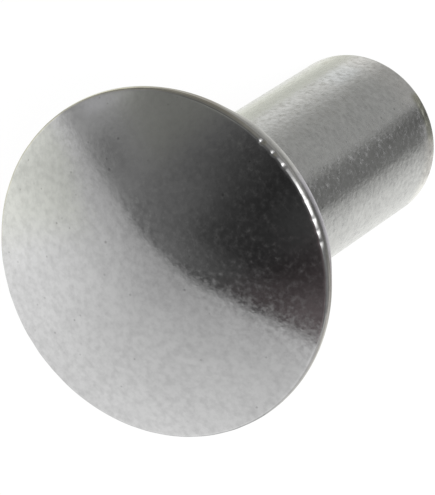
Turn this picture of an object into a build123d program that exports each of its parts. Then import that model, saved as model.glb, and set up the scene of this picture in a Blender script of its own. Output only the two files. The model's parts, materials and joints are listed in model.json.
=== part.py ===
from build123d import *
from math import asin, degrees, sqrt
import os

# Solid rivet with a low, wide domed head, upset in one piece from round steel wire.
# All lengths are in millimetres. The rivet stands on the flat end of its shank: the origin is
# the centre of that end face, and +Z runs up the axis to the crown of the head.

# Shank
SHANK_DIAMETER = 4.0       # the nominal size of the rivet
SHANK_LENGTH = 10.0        # from the end face to the bearing face under the head
END_EDGE_RADIUS = 0.15     # edge of the end face, rolled over where the wire was cropped
UNDERHEAD_FILLET = 0.15    # runs the shank into the bearing face

# Head
HEAD_DIAMETER = 8.0        # at the widest place of the rim
HEAD_HEIGHT = 1.0          # from the bearing face to the crown
CROWN_RADIUS = 8.0         # of the arc over the middle of the dome
CROWN_REACH = 1.0          # how far from the axis that arc runs before the flatter flank

# Rim, the free edge of the head, which bulges where the metal flowed outwards
RIM_HEIGHT = 0.3           # from the bearing face to where the dome meets the rim
RIM_WIDEST_HEIGHT = 0.18   # from the bearing face to the widest place of the rim
RIM_BULGE_RADIUS = 0.4     # of the arc that the rim follows from back to front
RIM_BACK_RADIUS = 0.05     # from the bearing face to the rim
RIM_FRONT_RADIUS = 0.06    # from the rim to the dome

shank_radius = SHANK_DIAMETER / 2
head_radius = HEAD_DIAMETER / 2
bearing_z = SHANK_LENGTH
crown_top_z = bearing_z + HEAD_HEIGHT


def rim_point(height):
    """Point of the rim's bulge at a height above the bearing face."""
    above_widest = height - RIM_WIDEST_HEIGHT
    drawn_in = RIM_BULGE_RADIUS - sqrt(RIM_BULGE_RADIUS**2 - above_widest**2)
    return (head_radius - drawn_in, bearing_z + height)


# Corners of the half section, as (distance from the axis, height), and the radius of each.
end_corner = (shank_radius, 0)
underhead_corner = (shank_radius, bearing_z)
rim_back_corner = rim_point(0)
rim_front_corner = rim_point(RIM_HEIGHT)
corner_radii = {
    end_corner: END_EDGE_RADIUS,
    underhead_corner: UNDERHEAD_FILLET,
    rim_back_corner: RIM_BACK_RADIUS,
    rim_front_corner: RIM_FRONT_RADIUS,
}


def half_section():
    """Section of the rivet on one side of its axis, drawn up the shank and over the head."""
    crown_sweep = degrees(asin(CROWN_REACH / CROWN_RADIUS))
    with BuildSketch(Plane.XZ) as section:
        with BuildLine():
            crown = JernArc((0, crown_top_z), tangent=(1, 0), radius=CROWN_RADIUS, arc_size=-crown_sweep)
            TangentArc(crown @ 1, rim_front_corner, tangent=crown % 1)
            ThreePointArc(rim_front_corner, rim_point(RIM_WIDEST_HEIGHT), rim_back_corner)
            Polyline(rim_back_corner, underhead_corner, end_corner, (0, 0), crown @ 0)
        make_face()
        for corner, radius in corner_radii.items():
            vertex = section.vertices().sort_by_distance((corner[0], corner[1], 0))[0]
            fillet(vertex, radius)
    return section.sketch


def make_rivet():
    """Head and shank are one body of revolution about the axis."""
    return revolve(half_section(), axis=Axis.Z)


rivet = make_rivet()

os.makedirs("parts", exist_ok=True)
export_step(rivet, "parts/rivet.step")
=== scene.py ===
import json
from math import asin, atan2, cos, degrees, exp, hypot, pi, radians, sin, sqrt

import bpy
from mathutils import Matrix, Vector, noise


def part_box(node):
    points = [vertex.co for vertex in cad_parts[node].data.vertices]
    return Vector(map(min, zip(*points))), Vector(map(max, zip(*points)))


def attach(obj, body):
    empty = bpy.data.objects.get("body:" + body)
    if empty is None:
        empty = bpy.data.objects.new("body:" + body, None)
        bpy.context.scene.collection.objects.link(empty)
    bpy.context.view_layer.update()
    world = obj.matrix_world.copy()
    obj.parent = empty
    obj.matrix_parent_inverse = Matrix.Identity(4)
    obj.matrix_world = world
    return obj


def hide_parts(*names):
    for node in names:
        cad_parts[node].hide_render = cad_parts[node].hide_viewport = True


MM = 0.001

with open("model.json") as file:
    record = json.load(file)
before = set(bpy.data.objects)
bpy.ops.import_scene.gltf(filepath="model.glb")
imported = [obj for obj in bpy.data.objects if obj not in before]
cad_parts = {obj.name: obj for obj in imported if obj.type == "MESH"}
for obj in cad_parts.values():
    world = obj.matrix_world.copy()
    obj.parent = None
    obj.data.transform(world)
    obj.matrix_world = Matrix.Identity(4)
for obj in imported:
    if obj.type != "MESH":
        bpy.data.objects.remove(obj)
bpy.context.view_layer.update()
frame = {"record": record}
record_mounts = {mount["name"]: mount for mount in frame["record"]["mounts"]}

# ---------------------------------------------------------------- sizes of the rivet, in metres
node_low, node_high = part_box("rivet")
CROWN_Z = node_high.z
HEAD_RADIUS = min(node_high.x, -node_low.x, node_high.y, -node_low.y)
SHANK_RADIUS = record_mounts["shank"]["dims"]["r_mm"] * MM
BEARING_Z = record_mounts["head_seat"]["pos_m"][2]
CROWN_RADIUS = 8.0 * MM
CROWN_REACH = 1.0 * MM
RIM_HEIGHT = 0.3 * MM
RIM_WIDEST_HEIGHT = 0.18 * MM
RIM_BULGE_RADIUS = 0.4 * MM
RIM_BACK_RADIUS = 0.05 * MM
RIM_FRONT_RADIUS = 0.06 * MM
END_EDGE_RADIUS = 0.15 * MM
UNDERHEAD_FILLET = 0.15 * MM

LATHE_STEPS = 960          # round the axis
DOME_RINGS = 22

# unevenness of the edges, taken for wear; turns are degrees from the near side (-Y) towards
# the left (-X)
LIP_DROP = 0.15 * MM       # the rim's back edge, drawn down and in along one stretch
LIP_DRAWN_IN = 0.015 * MM
LIP_FROM, LIP_TO = -26, 30
LIP_TAIL_DROP = 0.055 * MM
LIP_TAIL_FROM, LIP_TAIL_TO = -45, 80
NICK_DEPTH = 0.016 * MM
NICK_WIDTH = 0.055 * MM
# turn, share of the depth
NICKS = ((-14.5, 1.8), (-9.4, 1.4), (-4.3, 0.8), (5.5, 0.4),
         (8.6, 0.65), (14.6, 0.85), (18.5, 0.7), (22.2, 0.7))
LIP_SOFT, LIP_TAIL_SOFT, BURR_SOFT = 7, 16, 4   # degrees over which each fades in and out
RIPPLE = 0.012 * MM        # unevenness of the front edge
RIPPLE_LENGTH = 0.32 * MM
BURR_RISE = 0.011 * MM     # raised burr round part of the shank's end
BURR_HEIGHT = 0.22 * MM    # of the burr's crest above the end face
BURR_HALF_WIDTH = 0.13 * MM
BURR_FROM, BURR_TO = -5, 45
BURR_LENGTH = 0.25 * MM    # of its unevenness, round the shank
FINE_BAND = 0.22 * MM      # closely ringed band above the end edge, which carries the burr

# ---------------------------------------------------------------- camera
CAMERA_ELEVATION = radians(58.106)
CAMERA_ROLL = radians(-123.537)
CAMERA_DISTANCE = 111.28 * MM
LENS_MM = 370.16
AIM_FROM_SEAT = Vector((-0.367, -0.921, -0.552)) * MM


def make_camera():
    data = bpy.data.cameras.new("camera")
    data.lens = LENS_MM
    data.sensor_width = 36
    data.clip_start = 1 * MM
    data.clip_end = 20
    camera = bpy.data.objects.new("camera", data)
    bpy.context.scene.collection.objects.link(camera)
    forward = Vector((0, cos(CAMERA_ELEVATION), -sin(CAMERA_ELEVATION)))
    aim = Vector((0, 0, BEARING_Z)) + AIM_FROM_SEAT
    turn = forward.to_track_quat("-Z", "Y").to_matrix().to_4x4() @ Matrix.Rotation(CAMERA_ROLL, 4, "Z")
    camera.matrix_world = Matrix.Translation(aim - forward * CAMERA_DISTANCE) @ turn
    bpy.context.scene.camera = camera


# ---------------------------------------------------------------- profile and lathe
def line(start, end, steps):
    """Points from start towards end, without the end."""
    return [(start[0] + (end[0] - start[0]) * i / steps, start[1] + (end[1] - start[1]) * i / steps)
            for i in range(steps)]


def arc(centre, radius, start, end, steps):
    """Points round an arc between two angles, without the last."""
    return [(centre[0] + radius * cos(start + (end - start) * i / steps),
             centre[1] + radius * sin(start + (end - start) * i / steps)) for i in range(steps)]


def inner_tangent(centre_a, radius_a, centre_b, radius_b, radius):
    """Centre of an arc that touches two crossing arcs from inside, near their outer crossing."""
    reach_a, reach_b = radius_a - radius, radius_b - radius
    gap = hypot(centre_b[0] - centre_a[0], centre_b[1] - centre_a[1])
    along = (gap**2 + reach_a**2 - reach_b**2) / (2 * gap)
    aside = sqrt(reach_a**2 - along**2)
    unit = ((centre_b[0] - centre_a[0]) / gap, (centre_b[1] - centre_a[1]) / gap)
    return (centre_a[0] + unit[0] * along + unit[1] * aside, centre_a[1] + unit[1] * along - unit[0] * aside)


def lean(centre, point):
    """Angle of the line from an arc's centre to a point, above level."""
    return atan2(point[1] - centre[1], point[0] - centre[0])


def profile():
    """Section from the centre of the shank's end, up the shank and over the head to the crown."""
    bulge_centre = (HEAD_RADIUS - RIM_BULGE_RADIUS, BEARING_Z + RIM_WIDEST_HEIGHT)
    front_rise = RIM_HEIGHT - RIM_WIDEST_HEIGHT
    front_corner = (bulge_centre[0] + sqrt(RIM_BULGE_RADIUS**2 - front_rise**2), BEARING_Z + RIM_HEIGHT)
    crown_lean = asin(CROWN_REACH / CROWN_RADIUS)
    crown_centre = (0, CROWN_Z - CROWN_RADIUS)
    hand_over = (CROWN_REACH, crown_centre[1] + CROWN_RADIUS * cos(crown_lean))
    chord = (front_corner[0] - hand_over[0], front_corner[1] - hand_over[1])
    chord_drop = atan2(-chord[1], chord[0])
    flank_radius = hypot(*chord) / (2 * sin(chord_drop - crown_lean))
    flank_centre = (hand_over[0] - flank_radius * sin(crown_lean),
                    hand_over[1] - flank_radius * cos(crown_lean))
    # rim: back edge, bulge and front edge, each arc running into the next
    front = inner_tangent(flank_centre, flank_radius, bulge_centre, RIM_BULGE_RADIUS, RIM_FRONT_RADIUS)
    bulge_top, flank_end = lean(bulge_centre, front), lean(flank_centre, front)
    back_drop = asin((RIM_WIDEST_HEIGHT - RIM_BACK_RADIUS) / (RIM_BULGE_RADIUS - RIM_BACK_RADIUS))
    back_x = bulge_centre[0] + (RIM_BULGE_RADIUS - RIM_BACK_RADIUS) * cos(back_drop)
    fillet_x = SHANK_RADIUS + UNDERHEAD_FILLET
    end_x = SHANK_RADIUS - END_EDGE_RADIUS
    points = line((0, 0), (end_x, 0), 2)
    points += arc((end_x, END_EDGE_RADIUS), END_EDGE_RADIUS, -pi / 2, 0, 10)
    above_edge = (SHANK_RADIUS, END_EDGE_RADIUS + FINE_BAND)
    points += line((SHANK_RADIUS, END_EDGE_RADIUS), above_edge, 9)
    points += line(above_edge, (SHANK_RADIUS, BEARING_Z - UNDERHEAD_FILLET), 2)
    points += arc((fillet_x, BEARING_Z - UNDERHEAD_FILLET), UNDERHEAD_FILLET, pi, pi / 2, 6)
    points += line((fillet_x, BEARING_Z), (back_x, BEARING_Z), 8)
    points += arc((back_x, BEARING_Z + RIM_BACK_RADIUS), RIM_BACK_RADIUS, -pi / 2, -back_drop, 5)
    points += arc(bulge_centre, RIM_BULGE_RADIUS, -back_drop, bulge_top, 14)
    points += arc(front, RIM_FRONT_RADIUS, bulge_top, flank_end, 9)
    near_edge = flank_end + (pi / 2 - crown_lean - flank_end) * 0.06
    points += arc(flank_centre, flank_radius, flank_end, near_edge, 7)
    points += arc(flank_centre, flank_radius, near_edge, pi / 2 - crown_lean, DOME_RINGS)
    points += arc(crown_centre, CROWN_RADIUS, pi / 2 - crown_lean, pi / 2, 6)
    return points + [(0, CROWN_Z)]


def smooth_step(value, low, high):
    share = min(max((value - low) / (high - low), 0), 1)
    return share * share * (3 - 2 * share)


def stretch(turn, start, end, soft):
    """1 between two turns, 0 outside them."""
    return smooth_step(turn, start - soft, start + soft) - smooth_step(turn, end - soft, end + soft)


def worn_rim(radius, height, angle, turn):
    """The drawn-down back edge, and the rippled, nicked front edge, of the head."""
    above_seat = height - BEARING_Z
    at_rim = smooth_step(radius, 0.8 * HEAD_RADIUS, 0.98 * HEAD_RADIUS)
    at_back = min(max(1 - above_seat / RIM_WIDEST_HEIGHT, 0), 1)
    lip = at_rim * at_back**2 * stretch(turn, LIP_FROM, LIP_TO, LIP_SOFT)
    tail = at_rim * at_back**2 * stretch(turn, LIP_TAIL_FROM, LIP_TAIL_TO, LIP_TAIL_SOFT)
    drop = LIP_DROP * lip + LIP_TAIL_DROP * tail
    at_front = smooth_step(above_seat, RIM_WIDEST_HEIGHT * 0.6, RIM_HEIGHT)
    at_front *= smooth_step(radius, 0.982 * HEAD_RADIUS, 0.992 * HEAD_RADIUS)
    spot = Vector((cos(angle), sin(angle), 0)) * (HEAD_RADIUS / RIPPLE_LENGTH)
    inward = RIPPLE * (0.5 + 0.5 * noise.noise(spot))
    for nick, share in NICKS:
        away = radians(turn - nick) * HEAD_RADIUS / NICK_WIDTH
        inward += share * NICK_DEPTH * exp(-away * away)
    return radius - inward * at_front - LIP_DRAWN_IN * lip, height - drop


def worn_end(radius, height, angle, turn):
    """The burr round part of the shank's end."""
    across = (height - BURR_HEIGHT) / BURR_HALF_WIDTH
    uneven = 0.7 + 0.6 * noise.noise(Vector((cos(angle), sin(angle), 0)) * (SHANK_RADIUS / BURR_LENGTH))
    rise = BURR_RISE * uneven * max(1 - across * across, 0) * stretch(turn, BURR_FROM, BURR_TO, BURR_SOFT)
    return radius + rise * smooth_step(radius, 0.8 * SHANK_RADIUS, 0.95 * SHANK_RADIUS), height


def worn(radius, height, angle):
    turn = degrees(atan2(-cos(angle), -sin(angle)))
    if height < BURR_HEIGHT + BURR_HALF_WIDTH:
        return worn_end(radius, height, angle, turn)
    if radius > 0.8 * HEAD_RADIUS:
        return worn_rim(radius, height, angle, turn)
    return radius, height


def lathe(name, section):
    """Turns a section, whose first and last points lie on the axis, into a closed mesh."""
    ring_points = section[1:-1]
    vertices = [(0, 0, section[0][1])]
    for radius, height in ring_points:
        for step in range(LATHE_STEPS):
            angle = 2 * pi * step / LATHE_STEPS
            worn_radius, worn_height = worn(radius, height, angle)
            vertices.append((worn_radius * cos(angle), worn_radius * sin(angle), worn_height))
    vertices.append((0, 0, section[-1][1]))
    last = len(vertices) - 1
    faces = []
    for step in range(LATHE_STEPS):
        after = (step + 1) % LATHE_STEPS
        faces.append((0, 1 + after, 1 + step))
        for ring in range(len(ring_points) - 1):
            low, high = 1 + ring * LATHE_STEPS, 1 + (ring + 1) * LATHE_STEPS
            faces.append((low + step, low + after, high + after, high + step))
        top = 1 + (len(ring_points) - 1) * LATHE_STEPS
        faces.append((top + step, top + after, last))
    mesh = bpy.data.meshes.new(name)
    mesh.from_pydata(vertices, [], faces)
    mesh.polygons.foreach_set("use_smooth", [True] * len(mesh.polygons))
    mesh.update()
    piece = bpy.data.objects.new(name, mesh)
    bpy.context.scene.collection.objects.link(piece)
    return piece


# ---------------------------------------------------------------- node helpers
class Shader:
    """A node tree with short calls for the nodes that the materials use."""

    def __init__(self, tree):
        self.tree = tree
        tree.nodes.clear()

    def node(self, kind, inputs=None, **settings):
        node = self.tree.nodes.new(kind)
        for key, value in settings.items():
            setattr(node, key, value)
        for key, value in (inputs or {}).items():
            self.put(node.inputs[key], value)
        return node

    def put(self, socket, value):
        if isinstance(value, bpy.types.NodeSocket):
            self.tree.links.new(value, socket)
        else:
            socket.default_value = value

    def math(self, operation, a, b=0.0, clamp=False):
        return self.node("ShaderNodeMath", {0: a, 1: b}, operation=operation, use_clamp=clamp).outputs[0]

    def dot(self, vector, direction):
        node = self.node("ShaderNodeVectorMath", {0: vector, 1: direction}, operation="DOT_PRODUCT")
        return node.outputs["Value"]

    def ramp(self, value, low, high, low_gives, high_gives, smooth=True):
        kind = "SMOOTHSTEP" if smooth else "LINEAR"
        inputs = {"Value": value, "From Min": low, "From Max": high}
        inputs.update({"To Min": low_gives, "To Max": high_gives})
        return self.node("ShaderNodeMapRange", inputs, interpolation_type=kind).outputs["Result"]

    def rise(self, value, low, high, top=1.0):
        """0 below low, top above high."""
        return self.ramp(value, low, high, 0, top)

    def fall(self, value, low, high, top=1.0):
        """top below low, 0 above high."""
        return self.ramp(value, low, high, top, 0)

    def product(self, *values):
        result = values[0]
        for value in values[1:]:
            result = self.math("MULTIPLY", result, value)
        return result

    def tint(self, share, colour, tint):
        """The colour, multiplied by a tint to a share."""
        inputs = {0: share, 6: colour, 7: (*tint, 1)}
        return self.node("ShaderNodeMix", inputs, data_type="RGBA", blend_type="MULTIPLY").outputs[2]

    def blend(self, share, a, b):
        """a where share is 0, b where it is 1, for numbers."""
        return self.node("ShaderNodeMix", {0: share, 2: a, 3: b}, data_type="FLOAT").outputs[0]


# ---------------------------------------------------------------- steel
STEEL_GREY = (0.565, 0.565, 0.565, 1)
# limits of a tint: coordinate in mm, low, high, share at low, share at high
ON_RIM = (("radius", 3.9, 3.97, 0, 1), ("z", 10.2, 10.28, 1, 0))
RIM_BACK = (("z", 10.1, 10.18, 1, 0),)
BY_BURR = (("x", -1.25, -0.8, 0, 1), ("x", 0.0, 0.2, 1, 0), ("y", -1.2, -0.8, 1, 0))
# Tints by place paint light onto the steel's grey, to balance the tone against what it mirrors of the
# studio below: rim_left, dome_right, shank_right, end and end_left are painted reflections and
# highlights, and the other tints are painted shade, some of it tinted. They are not known features of
# the steel, and in plain light they show as patches, most of all the four at the shank's end.
PAINTED_SHADE_AND_REFLECTION_TINTS = (
    ("rim", (0.73, 0.7, 0.65), ON_RIM + (("y", -3.9, -3.2, 0.35, 1.0),)),
    ("rim_far_edge", (0.52, 0.52, 0.52), (("radius", 3.945, 3.975, 0, 1), ("y", -0.8, 0.4, 0, 1))),
    ("rim_left_edge", (0.85, 0.84, 0.82),
     (("radius", 3.95, 3.98, 0, 1), ("x", -3.2, -2.8, 1, 0), ("y", -0.8, 0.4, 1, 0))),
    ("rim_left", (1.18, 1.18, 1.2), (("x", -2.2, -1.8, 1, 0), ("y", -1.6, -1.0, 1, 0)) + ON_RIM),
    ("rim_left_back", (0.52, 0.49, 0.46),
     (("x", -2.1, -1.7, 1, 0), ("y", -2.9, -2.3, 1, 0)) + ON_RIM + RIM_BACK),
    ("rim_right_back", (0.74, 0.67, 0.64),
     (("x", 1.9, 2.3, 0, 1), ("y", -1.6, -1.2, 1, 0)) + ON_RIM + RIM_BACK),
    ("dome_right", (1.22, 1.22, 1.24),
     (("x", 3.3, 3.6, 0, 1), ("radius", 3.45, 3.8, 0, 1), ("radius", 3.93, 3.97, 1, 0),
      ("y", -0.8, -0.3, 1, 0))),
    # painted shade along the shank above its end
    ("shank_painted_shade", (0.75, 0.75, 0.75),
     (("x", -0.75, -0.5, 0, 1), ("x", -0.3, 0.0, 1, 0), ("z", 0.4, 3.5, 1, 0), ("z", 0.25, 0.6, 0, 1))),
    ("shank_right", (1.12, 1.14, 1.17),
     (("x", 1.1, 1.3, 0, 1), ("x", 1.5, 1.65, 1, 0), ("z", 0.6, 1.2, 0, 1), ("z", 1.9, 2.6, 1, 0),
      ("y", -1.0, -0.5, 1, 0))),
    ("end", (1.15, 1.13, 1.12), (("z", 0.2, 1.6, 1, 0), ("x", -0.3, 0.0, 0, 1))),
    ("end_left", (1.58, 1.54, 1.47),
     (("z", 0.2, 0.85, 1, 0), ("x", -1.1, -0.8, 1, 0), ("y", -0.6, 0.0, 1, 0))),
    ("end_by_burr", (0.68, 0.68, 0.58), BY_BURR + (("z", 0.3, 0.5, 1, 0),)),
    ("end_under_burr", (0.75, 0.75, 0.7), BY_BURR + (("z", 0.1, 0.14, 1, 0),)),
)


def noise_value(s, where, per_mm, detail, low, high, low_gives, high_gives):
    inputs = {"Vector": where, "Scale": per_mm, "Detail": detail, "Roughness": 0.6}
    texture = s.node("ShaderNodeTexNoise", inputs)
    return s.ramp(texture.outputs["Fac"], low, high, low_gives, high_gives, smooth=False)


def pits(s, where, per_mm, share, size_low, size_high):
    """1 inside small pits, one in a share of the cells of a Voronoi pattern, 0 outside."""
    cells = s.node("ShaderNodeTexVoronoi", {"Vector": where, "Scale": per_mm, "Randomness": 1.0})
    chance = s.node("ShaderNodeSeparateColor", {"Color": cells.outputs["Color"]})
    size = s.ramp(chance.outputs["Green"], 0, 1, size_low * per_mm, size_high * per_mm, smooth=False)
    away = s.math("DIVIDE", cells.outputs["Distance"], size)
    inside = s.fall(away, 0.3, 1.0)
    return s.product(inside, s.math("LESS_THAN", chance.outputs["Red"], share))


def coordinates(s):
    """The place on the rivet in mm, as a vector and as its parts, with the distance from the axis."""
    metres = s.node("ShaderNodeTexCoord").outputs["Object"]
    where = s.node("ShaderNodeVectorMath", {0: metres, "Scale": 1000.0}, operation="SCALE").outputs[0]
    parts = s.node("ShaderNodeSeparateXYZ", {0: where}).outputs
    x, y, z = parts["X"], parts["Y"], parts["Z"]
    radius = s.math("SQRT", s.math("ADD", s.product(x, x), s.product(y, y)))
    return where, {"x": x, "y": y, "z": z, "radius": radius}


def zone(s, at, limits):
    """Product of one ramp for each limit."""
    return s.product(*[s.ramp(at[name], *limit) for name, *limit in limits])


def shank_share(s, at):
    """1 on the shank, 0 on the head."""
    below_head = s.math("LESS_THAN", at["z"], (BEARING_Z + 0.5 * RIM_HEIGHT) / MM)
    shank_mm = SHANK_RADIUS / MM
    return s.product(below_head, s.fall(at["radius"], shank_mm + 0.1, shank_mm + 0.3))


def steel_tone(s, where, pores, smoother):
    """Broad clouds, fine mottling and small dark pits, as a factor on the steel's grey."""
    clouds = noise_value(s, where, 0.9, 3.0, 0.3, 0.7, 0.97, 1.03)
    mottle = s.blend(smoother, noise_value(s, where, 6.0, 5.0, 0.3, 0.6, 0.86, 1.035), 0.96)
    return s.product(clouds, mottle, s.math("SUBTRACT", 1.0, s.product(pores, 0.32)))


def steel_roughness(s, where, at, on_shank, smoother):
    """A low level, with haze everywhere, flecks on the shank and a dull place at its end."""
    haze = s.blend(smoother, noise_value(s, where, 8.0, 5.0, 0.4, 0.75, 0.0, 0.19), 0.07)
    flecks = s.product(noise_value(s, where, 9.0, 3.0, 0.42, 0.7, 0.0, 0.165), on_shank)
    dull_end = s.product(s.fall(at["z"], 0.2, 1.0, 0.3), s.fall(at["x"], -0.8, -0.4))
    dull_end = s.product(dull_end, s.fall(at["y"], -1.2, -0.8))
    level = s.math("ADD", s.math("ADD", haze, 0.068), flecks)
    return s.math("ADD", level, dull_end)


def steel_relief(s, where, on_shank, pores):
    """Bump of the grain, stronger on the shank, and of the pits."""
    drawn = s.node("ShaderNodeVectorMath", {0: where, 1: (1.0, 1.0, 0.6)}, operation="MULTIPLY").outputs[0]
    grain = s.node("ShaderNodeTexNoise", {"Vector": drawn, "Scale": 10.0, "Detail": 2.0}).outputs["Fac"]
    relief = s.product(grain, s.blend(on_shank, 0.0008, 0.006))
    relief = s.math("SUBTRACT", relief, s.product(pores, 0.0003))
    inputs = {"Strength": 1.0, "Distance": 1.0, "Height": s.product(relief, MM)}
    return s.node("ShaderNodeBump", inputs).outputs[0]


def make_steel():
    material = bpy.data.materials.new("satin_steel")
    material.use_nodes = True
    s = Shader(material.node_tree)
    where, at = coordinates(s)
    on_shank = shank_share(s, at)
    smoother = s.product(s.rise(at["x"], 1.2, 2.2, 0.6), s.fall(at["y"], -0.5, 0.3))
    pores = pits(s, where, 4.0, 0.4, 0.015, 0.05)
    inputs = {0: 1.0, 6: STEEL_GREY, 7: steel_tone(s, where, pores, smoother)}
    base = s.node("ShaderNodeMix", inputs, data_type="RGBA", blend_type="MULTIPLY").outputs[2]
    # paint reflections and shade by place onto the steel's grey, one tint at a time
    for _name, colour, limits in PAINTED_SHADE_AND_REFLECTION_TINTS:
        base = s.tint(zone(s, at, limits), base, colour)
    roughness = steel_roughness(s, where, at, on_shank, smoother)
    inputs = {"Base Color": base, "Metallic": 1.0, "Roughness": roughness}
    inputs["Normal"] = steel_relief(s, where, on_shank, pores)
    shader = s.node("ShaderNodeBsdfPrincipled", inputs)
    output = s.node("ShaderNodeOutputMaterial")
    s.put(output.inputs["Surface"], shader.outputs[0])
    return material


# ---------------------------------------------------------------- studio
# The studio's tones are set for what the steel mirrors on the camera's side. What it
# shows to the other sides is a guess.
# Each of these points from one stretch of the backdrop's top edge into the room.
BACKDROP_EDGES = (
    Vector((0.264, -0.885, 0.383)),
    Vector((0.442, -0.830, 0.340)),
    Vector((0.208, -0.978, 0.0)),
)
WINDOW_FROM, WINDOW_TO = 1, 37.5   # degrees from the near side towards the left


def room_tone(s, into_room, right, near, height):
    """Dim room on the near side: almost black overhead, lighter towards the right wall."""
    base = s.math("ADD", s.ramp(right, -0.22, 0.05, 0.08, 0.2), s.ramp(right, -0.4, -0.3, 0.06, 0.0))
    fall = s.ramp(into_room, 0.02, 0.45, 1.0, s.ramp(right, 0.12, 0.34, 0.32, 0.75))
    overhead = s.math("MULTIPLY", s.ramp(right, -0.02, 0.18, 1, 0), s.ramp(right, -0.35, -0.2, 0, 1))
    overhead = s.math("MULTIPLY", overhead, s.ramp(into_room, 0.07, 0.2, 0, 1))
    high = s.math("MULTIPLY", s.math("MULTIPLY", base, fall), s.blend(overhead, 1.0, 0.4))
    high = s.math("MAXIMUM", high, 0.032)
    left_haze = s.math("MULTIPLY", s.ramp(into_room, 0.2, 0.42, 0, 0.05), s.ramp(right, -0.2, 0.0, 1, 0))
    high = s.math("ADD", high, s.math("ADD", left_haze, s.ramp(into_room, 0.45, 0.6, 0, 0.05)))
    high = s.math("ADD", high, s.ramp(right, 0.22, 0.42, 0.0, 0.1))
    wall = s.math("MULTIPLY", s.ramp(right, 0.445, 0.465, 0, 0.25), s.ramp(right, 0.54, 0.64, 1, 0))
    wall = s.math("MULTIPLY", wall, s.ramp(into_room, 0.14, 0.34, 1, 0))
    high = s.math("ADD", high, wall)
    by_edge = s.math("MULTIPLY", s.ramp(into_room, 0.08, 0.18, 1, 0), s.ramp(right, 0.3, 0.42, 0, 0.26))
    by_edge = s.math("MULTIPLY", by_edge, s.ramp(right, 0.43, 0.455, 1, 0))
    high = s.math("SUBTRACT", high, by_edge)
    low = s.math("SUBTRACT", 0.22, s.math("MULTIPLY", height, 0.12))
    low = s.math("ADD", low, s.ramp(near, -0.35, 0.35, 0.28, 0.0, smooth=False))
    return s.blend(s.ramp(height, 0.7, 0.9, 0, 1), low, high)


def backdrop_tone(s, into_room, right, height, turn):
    """White backdrop: darker towards its top edge, lighter towards both sides, grey low on the left."""
    tone = s.ramp(height, 0.45, 0.9, 1.05, 0.52, smooth=False)
    rightward = s.node("ShaderNodeMath", {0: right, 1: 0.0, 2: 0.15}, operation="SMOOTH_MAX").outputs[0]
    to_right = s.math("MULTIPLY", rightward, s.ramp(into_room, -0.4, 0.0, 0.75, -0.25, smooth=False))
    leftward = s.math("MINIMUM", right, 0.0)
    to_left = s.math("MULTIPLY", s.math("MULTIPLY", leftward, leftward), s.ramp(height, 0.0, 0.45, 0.0, 0.7))
    tone = s.math("ADD", tone, s.math("ADD", to_right, to_left))
    tone = s.math("ADD", tone, s.ramp(right, 0.41, 0.45, 0.0, 0.15))
    behind = s.ramp(s.math("ABSOLUTE", turn), 75, 150, 0.6, 1.0, smooth=False)
    low_left = s.blend(s.ramp(height, 0.55, 0.85, 0, 1), behind, 1.0)
    low_left = s.blend(s.ramp(right, -0.1, 0.1, 0, 1), low_left, 1.0)
    return s.math("MULTIPLY", s.math("MINIMUM", tone, 1.2), low_left)


def table_tone(s, turn, right, near, height):
    """White table below the horizon, grey on the near side with a dark stripe, darker straight below."""
    ring = s.ramp(s.math("ABSOLUTE", turn), 48, 105, 0.47, 0.98)
    stripe = s.math("MULTIPLY", s.ramp(turn, 3, 26, 0, 0.52), s.ramp(turn, 50, 72, 1, 0))
    ring = s.math("MULTIPLY", ring, s.math("SUBTRACT", 1.0, stripe))
    left_fold = s.ramp(s.math("ABSOLUTE", s.math("SUBTRACT", turn, 102)), 10, 40, 0.94, 1.0)
    ring = s.math("MULTIPLY", ring, left_fold)
    far_fold = s.ramp(s.math("ABSOLUTE", s.math("ADD", turn, 120)), 4, 24, 0.78, 1.0)
    ring = s.math("MULTIPLY", ring, far_fold)
    ring = s.math("MULTIPLY", ring, s.ramp(height, -0.93, -0.88, 0.75, 1.0))
    near_or_aside = s.math("ADD", near, s.math("MULTIPLY", s.math("ABSOLUTE", right), 0.62))
    straight_below = s.ramp(near_or_aside, 0.19, 0.33, 0.8, s.ramp(right, -0.1, 0.25, 0.2, 0.5))
    return s.blend(s.ramp(height, -0.96, -0.915, 0, 1), straight_below, ring)


def window_tone(s, turn, height):
    """A soft window low on the near side, with a dimmer frame on its right."""
    frame_side = s.ramp(turn, WINDOW_FROM - 15, WINDOW_FROM - 8, 0, 0.4)
    window = s.math("MAXIMUM", s.ramp(turn, WINDOW_FROM - 5, WINDOW_FROM + 5, 0, 2.1), frame_side)
    across = s.product(s.fall(turn, WINDOW_TO - 5, WINDOW_TO + 5), s.ramp(turn, 18, 32, 1.0, 0.4))
    return s.product(window, across, s.rise(height, -0.82, -0.54), s.fall(height, 0.1, 0.62))


def dim_low_right(s, turn, height):
    """1 in a dim place low on the right."""
    low_from = s.ramp(turn, -95, -75, 0, 0.1)
    above = s.rise(s.math("SUBTRACT", height, low_from), -0.76, -0.66)
    return s.product(s.fall(height, -0.5, -0.2), s.fall(turn, -50, -30), s.rise(turn, -150, -125), above)


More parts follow.
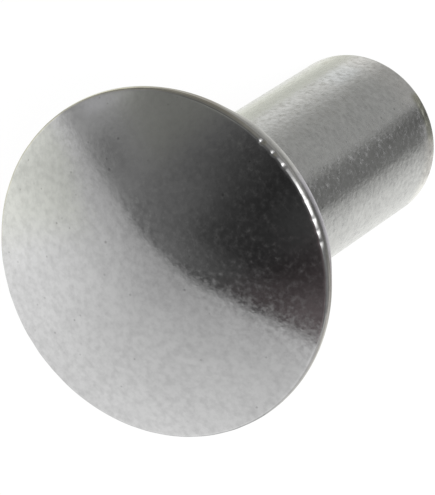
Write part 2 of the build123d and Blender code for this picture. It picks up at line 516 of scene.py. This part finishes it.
def studio_colour(s, tone, into_room, right, height, above_table):
    """Faint tints: yellowish right half and right wall, warm table, cool straight below, reddish left."""
    sheet = s.product(s.rise(right, 0.2, 0.32), s.fall(into_room, -0.07, -0.03), s.fall(height, 0.69, 0.74))
    colour = s.tint(sheet, tone, (0.985, 1.0, 0.935))
    overhead = s.product(s.rise(right, 0.25, 0.35), s.rise(into_room, 0.15, 0.25), s.rise(height, 0.6, 0.8))
    colour = s.tint(overhead, colour, (0.99, 1.0, 0.93))
    right_wall = s.product(s.rise(right, 0.2, 0.5), s.fall(height, 0.25, 0.5), above_table)
    colour = s.tint(right_wall, colour, (1.03, 1.0, 0.88))
    colour = s.tint(s.fall(above_table, 0, 1), colour, (0.995, 1.0, 0.965))
    below = s.product(s.fall(height, -0.96, -0.93), s.fall(right, -0.05, 0.05))
    colour = s.tint(below, colour, (1.0, 0.98, 1.08))
    left_wall = s.product(s.rise(right, -0.15, -0.3), s.rise(into_room, 0.0, 0.05))
    left_wall = s.product(left_wall, s.rise(height, 0.3, 0.6))
    return s.tint(left_wall, colour, (1.18, 1.0, 1.03))


def make_world():
    """What the steel mirrors: a backdrop, a dim room, a window and a table."""
    world = bpy.data.worlds.new("studio")
    bpy.context.scene.world = world
    world.use_nodes = True
    s = Shader(world.node_tree)
    toward = s.node("ShaderNodeTexCoord").outputs["Generated"]
    into_room = s.dot(toward, BACKDROP_EDGES[0])
    for edge in BACKDROP_EDGES[1:]:
        into_room = s.math("MAXIMUM", into_room, s.dot(toward, edge))
    right = s.dot(toward, (1, 0, 0))
    near = s.dot(toward, (0, -1, 0))
    height = s.dot(toward, (0, 0, 1))
    left = s.dot(toward, (-1, 0, 0))
    turn = s.math("MULTIPLY", s.math("ARCTAN2", left, near), 180 / pi)
    room = s.math("ADD", room_tone(s, into_room, right, near, height), window_tone(s, turn, height))
    backdrop = backdrop_tone(s, into_room, right, height, turn)
    shift = s.math("ADD", s.ramp(right, 0.08, 0.2, 0, 0.01), s.ramp(right, -0.38, -0.3, 0.01, 0))
    past_edge = s.math("SUBTRACT", into_room, shift)
    upper = s.blend(s.rise(past_edge, -0.015, 0.015), backdrop, room)
    upper = s.blend(dim_low_right(s, turn, height), upper, 0.2)
    above_table = s.rise(height, -0.84, -0.8)
    tone = s.blend(above_table, table_tone(s, turn, right, near, height), upper)
    colour = studio_colour(s, tone, into_room, right, height, above_table)
    background = s.node("ShaderNodeBackground", {"Color": colour, "Strength": 1.0})
    output = s.node("ShaderNodeOutputWorld")
    s.put(output.inputs["Surface"], background.outputs[0])


FLOOR_REACH = 3.0   # from the rivet to each side, in metres
LAMP_ELEVATION, LAMP_AZIMUTH = radians(52), radians(13)
LAMP_DISTANCE = 0.3


def make_floor():
    corners = [(-FLOOR_REACH, -FLOOR_REACH, 0), (FLOOR_REACH, -FLOOR_REACH, 0)]
    corners += [(FLOOR_REACH, FLOOR_REACH, 0), (-FLOOR_REACH, FLOOR_REACH, 0)]
    mesh = bpy.data.meshes.new("floor")
    mesh.from_pydata(corners, [], [(0, 1, 2, 3)])
    floor = bpy.data.objects.new("floor", mesh)
    bpy.context.scene.collection.objects.link(floor)
    material = bpy.data.materials.new("pale_floor")
    material.use_nodes = True
    s = Shader(material.node_tree)
    path = s.node("ShaderNodeLightPath")
    seen = s.math("MAXIMUM", path.outputs["Is Camera Ray"], path.outputs["Is Glossy Ray"])
    seen = s.math("MAXIMUM", seen, path.outputs["Is Transmission Ray"])
    matt = s.node("ShaderNodeBsdfDiffuse", {"Color": (0.85, 0.85, 0.85, 1)})
    white = s.node("ShaderNodeEmission", {"Color": (1, 1, 1, 1), "Strength": 1.0})
    share = s.math("MULTIPLY", seen, 0.93)
    mix = s.node("ShaderNodeMixShader", {0: share, 1: matt.outputs[0], 2: white.outputs[0]})
    output = s.node("ShaderNodeOutputMaterial")
    s.put(output.inputs["Surface"], mix.outputs[0])
    mesh.materials.append(material)
    floor.visible_glossy = False


def make_lamp():
    data = bpy.data.lights.new("softbox", "AREA")
    data.shape = "RECTANGLE"
    data.size = 0.22
    data.size_y = 0.16
    data.energy = 2.0
    lamp = bpy.data.objects.new("softbox", data)
    bpy.context.scene.collection.objects.link(lamp)
    level = cos(LAMP_ELEVATION)
    back = Vector((-sin(LAMP_AZIMUTH) * level, -cos(LAMP_AZIMUTH) * level, sin(LAMP_ELEVATION)))
    lamp.location = Vector((0, 0, BEARING_Z)) + back * LAMP_DISTANCE
    lamp.rotation_mode = "QUATERNION"
    lamp.rotation_quaternion = (-back).to_track_quat("-Z", "Y")
    lamp.visible_glossy = False


make_camera()
steel = make_steel()
rivet = lathe("rivet_body", profile())
rivet.data.materials.append(steel)
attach(rivet, "root")
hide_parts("rivet")
make_floor()
make_world()
make_lamp()

scene = bpy.context.scene
scene.view_settings.view_transform = "Standard"
